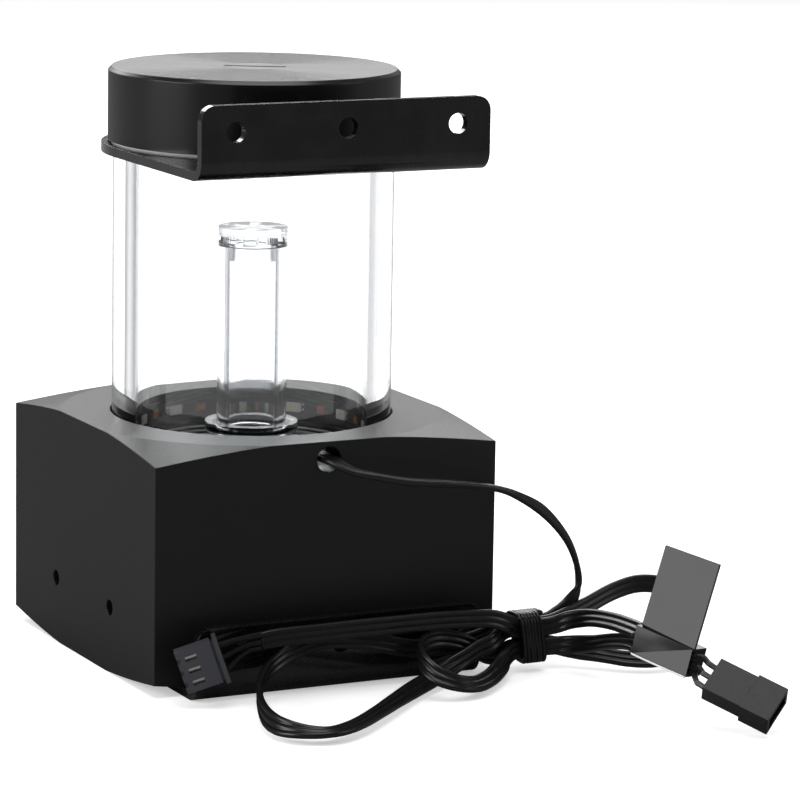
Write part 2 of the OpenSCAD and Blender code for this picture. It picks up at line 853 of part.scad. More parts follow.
// Stadium outline, made of squares and circles so that its ends stay round
module rounded_slot(w, h, r) {
    square([w - 2 * r, h], center = true);
    square([w, h - 2 * r], center = true);
    for (x = [-1, 1]) for (y = [-1, 1])
        translate([x * (w / 2 - r), y * (h / 2 - r)])
            circle(r = r, $fn = small_fn);
}

tie_place = [44.25, -46.5, 7.2];
tie_w = 7;
bundle = [5.2, 9.2];

module cable_tie() {
    color("#101011")
    translate(tie_place)
        rotate([90, 0, 90])
            translate([0, 0, -tie_w / 2])
                linear_extrude(tie_w)
                    difference() {
                        rounded_slot(bundle[0] + 2.2, bundle[1] + 2.2, 2);
                        rounded_slot(bundle[0] + 0.3, bundle[1] + 0.3, 1);
                    }
}

// Label wrapped round the splice, with its flag standing up. Each sleeve end is a slanted
// rectangle that faces forwards; rings run low front, high front, high back, low back.
label_back = [3.4, 0, 0];
sleeve_rear = [[50.1, -79, 10.4], [51.3, -79, 16.2]];
sleeve_front = [[55.5, -92, 7.8], [57, -92, 13.4]];
flag_foot = [[52.1, -79, 14.6], [57.3, -92, 12.8]];
flag_rise = [6.5, 1.6, 17.4];
flag_sink = 0.04;
flag_t = [0.35, 0, -0.05];

function wrap_ring(e) = [e[0], e[1], e[1] + label_back, e[0] + label_back];
function flag_ring(foot) =
    [foot - flag_rise * flag_sink, foot + flag_rise, foot + flag_rise + flag_t,
        foot - flag_rise * flag_sink + flag_t];

module cable_label() {
    color("#0c0c0d") {
        sweep([wrap_ring(sleeve_rear), wrap_ring(sleeve_front)]);
        sweep([flag_ring(flag_foot[0]), flag_ring(flag_foot[1])]);
    }
}

// Lead connector: body with the wires, then the open shroud with three pins
lead_place = [54.8, -103.5, 11.5];
lead_turn = [-140, 20, -50];
lead_body = [8.5, 8, 4.2];
lead_shroud = [6.5, 8.6, 5.4];
contact_pitch = 2.54;
shroud_wall = 0.8;

module in_lead_frame() {
    translate(lead_place)
        rotate(lead_turn)
            children();
}

module lead_connector() {
    color("#0d0d0e")
    in_lead_frame()
        difference() {
            union() {
                translate([0, -lead_body[1] / 2, 0])
                    cube(lead_body);
                translate([lead_body[0], -lead_shroud[1] / 2, -0.4])
                    cube(lead_shroud);
            }
            translate([lead_body[0] + 1, -lead_shroud[1] / 2 + shroud_wall, -0.4 + shroud_wall])
                cube([lead_shroud[0], lead_shroud[1] - 2 * shroud_wall, lead_shroud[2] - 2 * shroud_wall]);
            for (i = [-1 : 1])
                translate([-cut, i * contact_pitch - 0.85, 1.2])
                    cube([3.5 + cut, 1.7, 1.7]);
            for (i = [-1 : 1])
                translate([0, i * contact_pitch - 0.32, 1.7])
                    cube([lead_body[0] + 2, 0.64, 0.64]);
        }
}

module lead_pins() {
    color("#d9d4c4")
    in_lead_frame()
        for (i = [-1 : 1])
            translate([2.1, i * contact_pitch - 0.32, 1.7])
                cube([lead_body[0] + lead_shroud[0] - 3.1, 0.64, 0.64]);
}

wire_r = 0.62;

function wire_ring(route, i) =
    let (place = route[i],
        along = unit(near(route, i + 1) - near(route, i - 1)),
        across = unit(cross(along, [0, 0, 1])),
        up = cross(across, along))
    [for (k = [0 : 7]) place + wire_r * (across * cos(k * 45) + up * sin(k * 45))];

// Three single wires from the label's sleeve to the lead connector
lead_wire_routes = [
    [[57.7, -92.1, 12], [57.7, -93.8, 12.2], [56.9, -96.8, 12.8], [56.3, -99.6, 12.4], [57.3, -101.4, 11.5],
        [58.5, -102.8, 10.8]],
    [[57.3, -92.1, 10.3], [57.2, -93.8, 10.4], [55.6, -97.2, 11], [54.6, -100.4, 10.7], [55.5, -102.2, 10],
        [56.7, -103.6, 9.3]],
    [[56.9, -92.1, 8.7], [56.7, -93.8, 8.8], [54.4, -97.6, 9.2], [52.8, -101.2, 9.1], [53.6, -103, 8.4],
        [54.8, -104.4, 7.7]]];

// Three single wires that fan out from the flat cable's end to the tail connector
tail_wire_routes = [
    [[-20.2, -50, 14.35], [-23, -49.8, 14], [-26, -49.8, 13.6], [-29.2, -49.6, 12.9], [-30.9, -49, 12.3]],
    [[-20.2, -50, 13], [-22.8, -49.9, 12.6], [-25.5, -50, 11.7], [-28.4, -49.9, 10.5], [-30.1, -49.3, 9.9]],
    [[-20.2, -50, 11.6], [-22.6, -50, 11.3], [-25, -50.1, 10.1], [-27.6, -50.2, 8], [-29.3, -49.6, 7.4]]];

module lead_wires() {
    color("#121213")
    for (route = lead_wire_routes)
        sweep([for (i = [0 : len(route) - 1]) wire_ring(route, i)]);
}

module tail_wires() {
    color("#121213")
    for (route = tail_wire_routes)
        sweep([for (i = [0 : len(route) - 1]) wire_ring(route, i)]);
}

// Tail connector: flat housing with three windows and a collar at the wires' end
tail_place = [-37.3, -48.8, 7.4];
tail_turn = [0, -19, -20];
tail_body = [7.6, 4, 8.9];
tail_collar = [0.9, 4.8, 9.8];
tail_gap = 0.6;
tail_pitch = 2.6;

module in_tail_frame() {
    translate(tail_place)
        rotate(tail_turn)
            children();
}

module tail_connector() {
    color("#3a3a3e")
    in_tail_frame()
        difference() {
            union() {
                translate([0, 0, -tail_body[2] / 2])
                    cube(tail_body);
                translate([tail_body[0] + tail_gap, -0.4, -tail_collar[2] / 2])
                    cube(tail_collar);
                translate([tail_body[0] - cut, 0.4, -tail_body[2] / 2 + 0.4])
                    cube([tail_gap + 2 * cut, tail_body[1] - 0.8, tail_body[2] - 0.8]);
            }
            for (i = [-1 : 1]) {
                translate([tail_body[0] - 1.5, 1.1, i * tail_pitch - 0.9])
                    cube([tail_collar[0] + 3, 1.8, 1.8]);
                translate([-cut, 1.1, i * tail_pitch - 0.9])
                    cube([tail_body[0] + cut - 1, 1.8, 1.8]);
                translate([1.7, -cut, i * tail_pitch - 0.5])
                    cube([2.5, 2, 1]);
                // the way in breaks out through the face
                translate([-cut, -cut, i * tail_pitch - 0.55])
                    cube([0.6 + cut, 1.5 + cut, 1.1]);
            }
        }
}

module tail_contacts() {
    color("#d9d4c4")
    in_tail_frame()
        for (i = [-1 : 1])
            translate([0.8, 1.1, i * tail_pitch - 0.8])
                cube([tail_body[0] - 2, 1.6, 1.6]);
}

base_block();
reservoir_tube();
tube_seat_o_ring();
riser_tube();
riser_cap();
lighting_strip();
lamps();
strip_capacitors();
lid();
lid_o_ring();
lid_washer();
fill_plug();
fill_plug_o_ring();
upper_bracket();
lower_bracket();
bracket_screws();
pump_housing();
pump_end_cover();
pump_o_ring();
separating_can();
bearing_post();
bearing_ball();
stator_core();
stator_coils();
circuit_board();
impeller();
rotor_magnet();
lighting_cable();
tail_cable();
cable_tie();
cable_label();
lead_wires();
tail_wires();
lead_connector();
lead_pins();
tail_connector();
tail_contacts();
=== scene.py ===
"""Coolant pump reservoir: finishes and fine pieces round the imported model. Lengths are in metres."""

import math

import bpy
import numpy as np
from mathutils import Matrix


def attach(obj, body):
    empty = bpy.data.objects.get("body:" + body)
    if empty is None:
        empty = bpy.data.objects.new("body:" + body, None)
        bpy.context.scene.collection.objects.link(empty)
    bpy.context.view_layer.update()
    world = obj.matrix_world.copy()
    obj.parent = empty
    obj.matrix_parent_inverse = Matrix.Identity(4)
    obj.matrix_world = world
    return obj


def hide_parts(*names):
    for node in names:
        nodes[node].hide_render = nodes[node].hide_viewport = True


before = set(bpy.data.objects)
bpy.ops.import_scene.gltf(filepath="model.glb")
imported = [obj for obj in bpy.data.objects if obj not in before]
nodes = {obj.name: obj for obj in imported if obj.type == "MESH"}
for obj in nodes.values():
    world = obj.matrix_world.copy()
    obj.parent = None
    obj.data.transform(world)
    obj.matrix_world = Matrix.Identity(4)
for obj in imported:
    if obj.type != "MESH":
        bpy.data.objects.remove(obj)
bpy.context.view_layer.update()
MM = 0.001


# ---------------------------------------------------------------- camera and room

def aim_camera():
    """Camera from its place and its heading, climb and roll angles; its axes are their rotations of +Y."""
    heading, climb, roll = 0.4656, -0.17245, 0.016637
    place = np.array([-358.18, -783.76, 213.24]) * MM
    ahead = np.array([math.sin(heading) * math.cos(climb), math.cos(heading) * math.cos(climb),
                      math.sin(climb)])
    level = np.array([math.cos(heading), -math.sin(heading), 0.0])
    over = np.cross(level, ahead)
    right = level * math.cos(roll) + over * math.sin(roll)
    up = over * math.cos(roll) - level * math.sin(roll)
    lens = bpy.data.cameras.new("camera")
    lens.sensor_width = 36
    lens.lens = 183.13
    lens.shift_y = -0.0558
    lens.clip_end = 20
    camera = bpy.data.objects.new("camera", lens)
    turn = np.eye(4)
    turn[:3, 0], turn[:3, 1], turn[:3, 2] = right, up, -ahead
    turn[:3, 3] = place
    camera.matrix_world = Matrix(turn.tolist())
    bpy.context.scene.collection.objects.link(camera)
    bpy.context.scene.camera = camera


aim_camera()


# ---------------------------------------------------------------- shader arithmetic

class Field:
    """A number that changes over a surface: Python arithmetic on it adds Math nodes."""

    def __init__(self, finish, socket):
        self.finish, self.socket = finish, socket

    def math(self, operation, *others):
        values = {i: v for i, v in enumerate((self,) + others)}
        return self.finish.node("ShaderNodeMath", {"operation": operation}, values)[0]

    def __add__(self, other):
        return self.math("ADD", other)

    def __sub__(self, other):
        return self.math("SUBTRACT", other)

    def __mul__(self, other):
        return self.math("MULTIPLY", other)

    def __pow__(self, other):
        return self.math("POWER", other)

    def __rsub__(self, other):
        return self.finish.node("ShaderNodeMath", {"operation": "SUBTRACT"}, {0: other, 1: self})[0]

    __radd__ = __add__
    __rmul__ = __mul__

    def held(self):
        """The same value kept between 0 and 1."""
        return self.finish.node("ShaderNodeClamp", {}, {"Value": self})[0]

    def step(self, low, high):
        """0 below low, 1 above high, smooth between."""
        return self.finish.node(
            "ShaderNodeMapRange", {"interpolation_type": "SMOOTHSTEP"},
            {"Value": self, "From Min": low, "From Max": high})[0]


class Finish:
    """A surface finish: one Principled shader, fixed numbers on its own sockets, and what varies linked."""

    def __init__(self, name, colour, **fixed):
        self.material = bpy.data.materials.new(name)
        self.material.use_nodes = True
        self.tree = self.material.node_tree
        self.shader = self.tree.nodes["Principled BSDF"]
        self.shader.inputs["Base Color"].default_value = (*colour, 1)
        for key, value in fixed.items():
            self.shader.inputs[key.replace("_", " ").title().replace("Ior", "IOR")].default_value = value

    def node(self, kind, settings, values):
        """Adds a node, makes its settings, then sets or links its inputs; gives its outputs as fields."""
        made = self.tree.nodes.new(kind)
        for key, value in settings.items():
            setattr(made, key, value)
        for key, value in values.items():
            if isinstance(value, Field):
                self.tree.links.new(value.socket, made.inputs[key])
            else:
                made.inputs[key].default_value = value
        return [Field(self, s) for s in made.outputs]

    def place(self, turn=(0, 0, 0), size=(1, 1, 1)):
        """Object coordinates, turned or stretched."""
        here = self.node("ShaderNodeTexCoord", {}, {})[3]
        if turn == (0, 0, 0) and size == (1, 1, 1):
            return here
        return self.node("ShaderNodeMapping", {}, {"Vector": here, "Rotation": turn, "Scale": size})[0]

    def axes(self, where=None):
        """x, y and z of a place, as three fields."""
        return self.node("ShaderNodeSeparateXYZ", {}, {0: where or self.place()})

    def noise(self, scale, detail=2.0, where=None, rough=0.5):
        return self.node("ShaderNodeTexNoise", {}, {"Vector": where or self.place(), "Scale": scale,
                                                    "Detail": detail, "Roughness": rough})[0]

    def link(self, socket, field):
        self.tree.links.new(field.socket, self.shader.inputs[socket])
        return self

    def tint(self, amount, dark, light):
        """Base colour between two colours by a field."""
        mixed = self.node("ShaderNodeMix", {"data_type": "RGBA"}, {0: amount, 6: (*dark, 1), 7: (*light, 1)})
        return self.link("Base Color", mixed[2])

    def relief(self, height, depth, edge=0.0):
        """Bump from a height field, depth in metres; edge is the radius that sharp edges are eased by."""
        values = {"Height": height, "Distance": depth, "Strength": 1.0}
        if edge:
            values["Normal"] = self.node("ShaderNodeBevel", {"samples": 6}, {"Radius": edge})[0]
        return self.link("Normal", self.node("ShaderNodeBump", {}, values)[0])


def wear(piece, finish):
    """Gives a piece its finish."""
    piece.data.materials.clear()
    piece.data.materials.append(finish.material)


# ---------------------------------------------------------------- surfaces

def lay(name, body, finish, points, faces):
    """A smooth mesh piece from an array of points in millimetres and a list or array of faces."""
    mesh = bpy.data.meshes.new(name)
    corners = faces.tolist() if isinstance(faces, np.ndarray) else faces
    mesh.from_pydata((points * MM).tolist(), [], corners)
    mesh.shade_smooth()
    mesh.update()
    piece = bpy.data.objects.new(name, mesh)
    bpy.context.scene.collection.objects.link(piece)
    wear(piece, finish)
    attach(piece, body)
    return piece


def grid_faces(rows, columns, round_rows=False, round_columns=False):
    """Quads of a rows by columns grid of points, closed along either way."""
    i = np.arange(rows if round_rows else rows - 1)[:, None]
    j = np.arange(columns if round_columns else columns - 1)[None, :]
    a = i * columns + j
    b = i * columns + (j + 1) % columns
    c = ((i + 1) % rows) * columns + (j + 1) % columns
    d = ((i + 1) % rows) * columns + j
    return np.stack([a + 0 * j, b + 0 * i, c, d], -1).reshape(-1, 4)


def unit(v):
    return v / np.linalg.norm(v, axis=-1, keepdims=True)


def through(points, per_span):
    """A smooth line through the points: each span is the cubic whose end slopes are half the chord
    between the neighbours on either side."""
    p = np.asarray(points, float)
    ends = np.vstack([2 * p[0] - p[1], p, 2 * p[-1] - p[-2]])
    t = np.arange(per_span)[:, None] / per_span
    a, b, c, d = (ends[k: len(ends) - 3 + k][:, None, :] for k in range(4))
    line = 0.5 * (2 * b + (c - a) * t + (2 * a - 5 * b + 4 * c - d) * t**2 + (3 * b - a - 3 * c + d) * t**3)
    return np.vstack([line.reshape(-1, p.shape[1]), p[-1]])


def carried(profile, path, facing):
    """Grid of a closed profile (width, height) carried along a path: width lies across the path,
    height along its facing made square to the path."""
    along = unit(np.gradient(path, axis=0))
    across = unit(np.cross(along, facing))
    face = np.cross(across, along)
    wide, high = profile[None, :, :1], profile[None, :, 1:]
    return path[:, None, :] + across[:, None, :] * wide + face[:, None, :] * high


def tube_of(grid):
    """Points and faces of a closed skin round a carried grid, with flat end caps."""
    rows, columns = grid.shape[:2]
    faces = grid_faces(rows, columns, round_columns=True)[:, ::-1].tolist()
    faces.append(list(range(columns)))
    faces.append([(rows - 1) * columns + k for k in range(columns)][::-1])
    return grid.reshape(-1, 3), faces


# ---------------------------------------------------------------- finishes

def turned(finish, pitch):
    """Fine rings of a lathe tool about the upright axis: the sine of the distance from it, with a little
    noise so that no two rings are alike."""
    x, y, _ = finish.axes()
    away = (x * x + y * y) ** 0.5
    rings = (away * (math.tau / pitch) + finish.noise(60, 2) * 2).math("SINE")
    return rings * 0.5 + finish.noise(2500, 2) * 0.5


def sheen_wedges(finish):
    """Light and dark wedges about the upright axis, the sheen of a turned face; mixed into a colour they are
    painted sheen. The cosine of twice the angle.
    """
    x, y, _ = finish.axes()
    turn = y.math("ARCTAN2", x)
    return ((turn * 2 + 1.1).math("COSINE") * 0.5 + 0.5) ** 2


block_skin = Finish("block, matt black", (0.006, 0.006, 0.0065), roughness=0.42, specular_ior_level=0.42)
mottle = block_skin.noise(9, 4)
block_skin.tint(mottle.step(0.3, 0.7), (0.0045, 0.0045, 0.0048), (0.0075, 0.0075, 0.008))
fine = block_skin.noise(1800, 3)
block_skin.link("Roughness", fine * 0.12 + mottle * 0.08 + 0.34)
block_skin.relief(fine, 0.000012, edge=0.00035)

lid_skin = Finish("lid, turned black", (0.014, 0.014, 0.0145), roughness=0.34, specular_ior_level=0.55)
rings = turned(lid_skin, 0.0004)
wedges = sheen_wedges(lid_skin)
# Painted sheen: the lid's colour goes dark and light in wedges about its axis.
lid_skin.tint(wedges, (0.004, 0.004, 0.0042), (0.022, 0.022, 0.023))
lid_skin.link("Roughness", wedges * 0.16 + rings * 0.06 + 0.24)
lid_skin.relief(rings, 0.000006, edge=0.0003)

plug_skin = Finish("fill plug, turned black", (0.03, 0.03, 0.031), roughness=0.4)
plug_rings_and_sheen = turned(plug_skin, 0.0005)
plug_skin.link("Roughness", plug_rings_and_sheen * 0.15 + 0.36)
# Painted sheen: the plug's colour goes light and dark ring by ring with the tool marks.
plug_skin.tint(plug_rings_and_sheen.held(), (0.05, 0.05, 0.052), (0.1, 0.1, 0.104))
plug_skin.relief(plug_rings_and_sheen, 0.000008, edge=0.0002)

coat = Finish("bracket, gloss black coat", (0.003, 0.003, 0.0032), roughness=0.3, coat_roughness=0.06,
              specular_ior_level=0.3)
ripple = coat.noise(140, 3)
coat.link("Roughness", coat.noise(2200, 3) * 0.12 + 0.2)
coat.link("Coat Weight", ripple * 0.25 + 0.7)
coat.tint(ripple.step(0.35, 0.65), (0.002, 0.002, 0.0022), (0.004, 0.004, 0.0043))
coat.relief(ripple, 0.00001, edge=0.0004)

screw_steel = Finish("screws, black oxide", (0.045, 0.045, 0.048), metallic=1.0, roughness=0.4)
screw_steel.link("Roughness", screw_steel.noise(900, 3) * 0.3 + 0.25)
screw_steel.relief(screw_steel.noise(1500, 3), 0.00001, edge=0.0001)

cable_skin = Finish("cable skin", (0.005, 0.005, 0.0055), roughness=0.34, specular_ior_level=0.5)
grain = cable_skin.noise(900, 3)
cable_skin.relief(grain, 0.00003)
cable_skin.link("Roughness", grain * 0.16 + 0.24)
cable_skin.tint(cable_skin.noise(70, 3).step(0.4, 0.7), (0.004, 0.004, 0.0043), (0.007, 0.007, 0.008))

film = Finish("label film", (0.003, 0.003, 0.0033), roughness=0.16, specular_ior_level=0.35)
crease_and_sheen = film.noise(60, 2, film.place(turn=(0.3, 0.5, 0.8), size=(1, 0.25, 1)))
film.relief(crease_and_sheen, 0.0004, edge=0.0001)
film.link("Roughness", crease_and_sheen * 0.14 + 0.04)
# Painted reflection: the film's colour is lighter in soft bands along its creases.
film.tint(crease_and_sheen.step(0.45, 0.75), (0.0025, 0.0025, 0.0028), (0.006, 0.006, 0.0066))
# A white strip along the label's fold: painted highlight.
fold_highlight = Finish("label fold, painted highlight", (0.85, 0.85, 0.86), roughness=0.55)
fold_highlight.tint(fold_highlight.noise(500, 2), (0.74, 0.74, 0.75), (0.92, 0.92, 0.93))

rubber = Finish("seal rubber", (0.01, 0.01, 0.01), roughness=0.55)
rubber.relief(rubber.noise(1300, 3), 0.00002)
rubber.tint(rubber.noise(200, 2), (0.007, 0.007, 0.007), (0.014, 0.014, 0.014))


def moulded(name, colour, rough=0.42, grain_size=1400, **fixed):
    """A moulded plastic: cloudy colour, fine grain and eased edges."""
    made = Finish(name, colour, roughness=rough, **fixed)
    cloud = made.noise(80, 3)
    made.tint(cloud, [c * 0.85 for c in colour], [min(1, c * 1.12) for c in colour])
    pits = made.noise(grain_size, 3)
    made.link("Roughness", pits * 0.14 + (rough - 0.07))
    made.relief(pits, 0.000012, edge=0.00015)
    return made


def metal(name, colour, rough=0.28, stretch=(1, 1, 12)):
    """A worked metal: streaks along one way, seen in roughness and relief."""
    made = Finish(name, colour, metallic=1.0, roughness=rough)
    streak = made.noise(300, 4, made.place(size=stretch))
    made.tint(streak, [c * 0.8 for c in colour], [min(1, c * 1.1) for c in colour])
    made.link("Roughness", streak * 0.2 + (rough - 0.1))
    made.relief(streak, 0.00001)
    return made


plain_black = moulded("connector, moulded black", (0.005, 0.005, 0.0055), 0.4)
slate = moulded("connector, slate grey", (0.04, 0.041, 0.05), 0.5, 1600)
tin = metal("contacts, tinned", (0.9, 0.88, 0.84), 0.2)
# Painted highlight: the washer is made translucent white so that it stands for the bright gap under the lid,
# where light comes through the tube.
washer_white_highlight = moulded("washer, white as painted highlight", (0.8, 0.83, 0.86), 0.3)
lamp_case = moulded("lamp, white package", (0.82, 0.82, 0.78), 0.4, 3000)
phosphor = moulded("lamp, phosphor", (0.86, 0.8, 0.6), 0.35, 3000)
ceramic = moulded("capacitor, amber ceramic", (0.45, 0.13, 0.045), 0.35, 3000)
strip_board = moulded("strip, black board", (0.016, 0.015, 0.013), 0.4, 2500)
housing_skin = moulded("pump housing", (0.03, 0.034, 0.043), 0.45)
can_skin = moulded("separating can", (0.55, 0.57, 0.58), 0.35)
ivory = moulded("bearing ceramic", (0.86, 0.85, 0.8), 0.2, 2500, coat_weight=0.5)
rotor_white = moulded("impeller, off-white", (0.66, 0.64, 0.58), 0.4)
magnet_skin = moulded("magnet, sintered", (0.07, 0.07, 0.075), 0.5, 2200)
laminated = metal("stator, laminated steel", (0.42, 0.43, 0.45), 0.36, (1, 1, 40))
copper = metal("coils, copper wire", (0.72, 0.32, 0.13), 0.3, (1, 1, 60))
board_green = moulded("circuit board", (0.025, 0.15, 0.065), 0.38, 2600)

clear = Finish("clear acrylic", (0.985, 0.995, 1.0), roughness=0.02, transmission_weight=1.0, ior=1.49)
clear.link("Roughness", clear.noise(30, 3).step(0.5, 0.9) * 0.05 + 0.01)
clear.relief(clear.noise(18, 2), 0.00003, edge=0.0002)
worked = Finish("clear acrylic, machined", (0.97, 0.985, 1.0), roughness=0.05, transmission_weight=1.0,
                ior=1.49)
tool = turned(worked, 0.0006)
worked.link("Roughness", tool.held() * 0.08 + 0.02)
worked.relief(tool, 0.000012, edge=0.00015)
# Painted highlight: the thread crests are painted white, with light and dark wedges of painted sheen, where
# the clear thread catches light.
thread_crest_highlight = Finish("thread crests, painted highlight", (0.96, 0.97, 0.98), roughness=0.12, coat_weight=0.6)
thread_crest_highlight.tint(sheen_wedges(thread_crest_highlight), (0.45, 0.45, 0.46), (1.0, 1.0, 1.0))

FINISH_OF = {
    "base_block": block_skin, "lid": lid_skin, "fill_plug": plug_skin, "upper_bracket": coat,
    "lower_bracket": coat, "bracket_screws": screw_steel, "cable_label": film, "tube_seat_o_ring": rubber,
    "lid_o_ring": rubber, "fill_plug_o_ring": rubber, "pump_o_ring": rubber, "lead_wires": cable_skin,
    "tail_wires": cable_skin, "lead_connector": plain_black, "lead_pins": tin, "tail_connector": slate,
    "tail_contacts": tin, "lid_washer": washer_white_highlight, "lamps": lamp_case, "strip_capacitors": ceramic,
    "lighting_strip": strip_board, "pump_housing": housing_skin, "pump_end_cover": housing_skin,
    "separating_can": can_skin, "bearing_post": ivory, "bearing_ball": ivory, "impeller": rotor_white,
    "rotor_magnet": magnet_skin, "stator_core": laminated, "stator_coils": copper,
    "circuit_board": board_green, "reservoir_tube": clear, "riser_tube": worked, "riser_cap": worked,
    "lighting_cable": cable_skin, "tail_cable": cable_skin, "cable_tie": cable_skin}
for name, piece in nodes.items():
    wear(piece, FINISH_OF[name])


# ---------------------------------------------------------------- cables

# which way the flat side faces, and the routes: (place, facing)
UP, FRONT, BACK, LEAN, UNDER = (0, 0, 1), (0, -1, 0), (0, 1, 0), (0, -1, 1), (0, 1, -1)
OUT, FLAT, EDGE = (0.9, -0.45, 0.3), (0, 0.1, -1), (0.89, -0.45, 0)
lighting_route = [
    ((0, -33, 47.2), UP), ((0, -38, 47.2), UP), ((0.5, -41, 47), UP), ((3, -44, 45.5), UP),
    ((7, -46, 44.5), UP), ((14, -47, 43), UP), ((22, -47, 42), UP), ((29, -46.5, 41), UP),
    ((36, -46, 39.5), UP), ((42, -45, 37), (0.4, -0.3, 1)), ((48.5, -44, 33), OUT), ((54, -43.5, 27), OUT),
    ((57, -43, 21), OUT), ((57.5, -43, 16), OUT), ((55, -43.5, 12.5), (0.5, -1, 0)),
    ((51.5, -44.5, 10.5), FRONT),
    # through the tie, then the upper side of the long loop, along the flange
    ((48, -44.8, 9.4), FRONT), ((40.5, -44.8, 9.4), FRONT), ((37, -45.3, 9.3), FRONT),
    ((33.5, -46.8, 8.7), FRONT), ((29, -46.8, 7.6), FRONT), ((22, -46.8, 7), FRONT),
    ((15, -46.8, 7.4), FRONT), ((8, -46.9, 9.3), FRONT), ((1, -47, 10.7), FRONT), ((-6, -47.2, 11), FRONT),
    ((-12, -47.7, 9.4), (0.2, -1, 0)), ((-17, -49.6, 7.6), (0.6, -1, 0)),
    ((-20.5, -52.7, 6.4), (0.89, -0.6, 0)),
    ((-23.5, -57, 5), EDGE), ((-26.5, -64, 3.8), EDGE), ((-28.5, -72, 3), (0.89, -0.3, -0.3)),
    ((-28, -78, 2.6), (0.8, 0, -0.7)), ((-24.5, -82.3, 2.4), (0.3, 0.2, -1)), ((-19.5, -83.6, 2.3), FLAT),
    ((-13, -80.5, 2.3), FLAT), ((-5, -73.8, 2.3), FLAT), ((3, -66.4, 2.3), (0, 0.4, -1)),
    ((11, -59.4, 2.4), UNDER),
    ((17, -55, 2.7), UNDER), ((22, -52.3, 3.7), (0, 1, -0.5)), ((26, -51, 5), BACK),
    ((30, -50.2, 6.6), BACK), ((33.3, -49.9, 7.6), BACK), ((36.8, -47.6, 8.9), BACK),
    # through the tie, then the short loop behind the label
    ((40.5, -46.5, 9.4), BACK), ((48, -46.5, 9.4), BACK), ((53, -46, 10.5), BACK),
    ((59, -44.5, 12), BACK), ((66.5, -42.5, 14), BACK), ((73, -42, 15), (0.2, 1, 0)),
    ((78.5, -43.7, 14.3), (0.7, 1, 0)), ((81.3, -47, 12), (1, 0.3, 0.4)), ((80.8, -51.5, 9), (1, 0, 0)),
    ((77.5, -56, 6), (1, -1, 0.4)), ((73, -58.8, 4), (0.4, -1, 0.8)), ((67.5, -59.4, 2.9), LEAN),
    ((62.5, -57, 2.8), LEAN), ((58, -52.8, 3.2), LEAN), ((53, -48.7, 4), FRONT),
    # through the tie, then the small loop in front
    ((48, -46.5, 5), FRONT), ((40.5, -46.5, 5), FRONT), ((37, -46.7, 4.3), FRONT),
    ((33.5, -48.2, 4.4), FRONT),
    ((30, -48.4, 6.4), FRONT), ((26, -48.4, 8.3), FRONT), ((21.5, -48.5, 9.2), (0.1, -1, 0)),
    ((17, -50.6, 9.1), (0.7, -1, 0)), ((14.2, -54.5, 8.2), (1, -0.4, 0)), ((13.2, -58.5, 6.8), (1, 0, -0.3)),
    ((14.3, -62, 5.2), (1, 0.7, -0.7)), ((17.8, -64.2, 3.8), (0.3, 1, -1)), ((22.5, -63.4, 2.9), UNDER),
    ((27.5, -59.7, 2.7), UNDER), ((32, -55.2, 3), UNDER), ((36.3, -50.8, 4.2), BACK),
    # through the tie and forward to the label's sleeve
    ((40.5, -48.2, 5), BACK), ((48, -48.2, 5), BACK), ((51.5, -51, 5.6), (1, 1, -0.3)),
    ((53, -57, 7), (1, 0.2, -0.6)), ((53, -66, 9.6), (1, 0, -0.9)), ((52.2, -75, 11.6), (1, 0, -1)),
    ((52, -78.85, 11.9), (1, 0, -1)),
]
tail_route = [
    ((52, -78.85, 14.8), (-1, 0, 1)), ((52.2, -75, 14.7), (-1, 0, 1)), ((53, -66, 13.9), (-1, 0, 0.9)),
    ((53, -57, 12.6), (-1, -0.2, 0.6)), ((51.5, -51, 11), (-1, -1, 0.2)), ((48, -48.2, 9.4), FRONT),
    ((40.5, -48.2, 9.4), FRONT), ((37, -50, 11.3), FRONT), ((33, -50.5, 12.8), FRONT),
    ((27, -50.4, 13.3), FRONT), ((19, -50.4, 13.6), FRONT), ((10, -50.3, 13.6), FRONT),
    ((1, -50.2, 13.6), FRONT), ((-7, -50.2, 13.5), FRONT),
    ((-12, -50.2, 13.5), FRONT), ((-16.5, -50.1, 13.4), FRONT), ((-20, -50, 13), FRONT),
]


def three_wire_profile(width, thickness, steps=7):
    """Outline of three round wires side by side, joined by webs: the height at u is the round of the nearest
    wire, never less than the web's."""
    r = thickness / 2
    pitch = (width - thickness) / 2
    lobe = np.linspace(math.pi, 0, steps + 2)[1:-1]
    u = np.concatenate([c * pitch + r * np.cos(lobe) for c in (-1, 0, 1)])
    v = np.tile(np.maximum(r * np.sin(lobe), 0.55 * r), 3)
    v[0] = v[-1] = 0.35 * r
    return np.vstack([np.stack([u, v], 1), np.stack([u[::-1], -v[::-1]], 1)])


CABLE_WIDTH, CABLE_THICKNESS, STEPS_PER_SPAN = 4.0, 1.32, 6


def flat_cable(name, route, stands_for):
    """The flat three-wire cable laid along a route; gives the piece and its middle line in metres."""
    line = through([p for p, _ in route], STEPS_PER_SPAN)
    facing = through([f for _, f in route], STEPS_PER_SPAN)
    points, faces = tube_of(carried(three_wire_profile(CABLE_WIDTH, CABLE_THICKNESS), line, facing))
    piece = lay(name, "root", cable_skin, points, faces)
    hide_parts(stands_for)
    return piece, line * MM


lighting, lighting_line = flat_cable("lighting_cable_skin", lighting_route, "lighting_cable")
tail, tail_line = flat_cable("tail_cable_skin", tail_route, "tail_cable")


# ---------------------------------------------------------------- cable tie

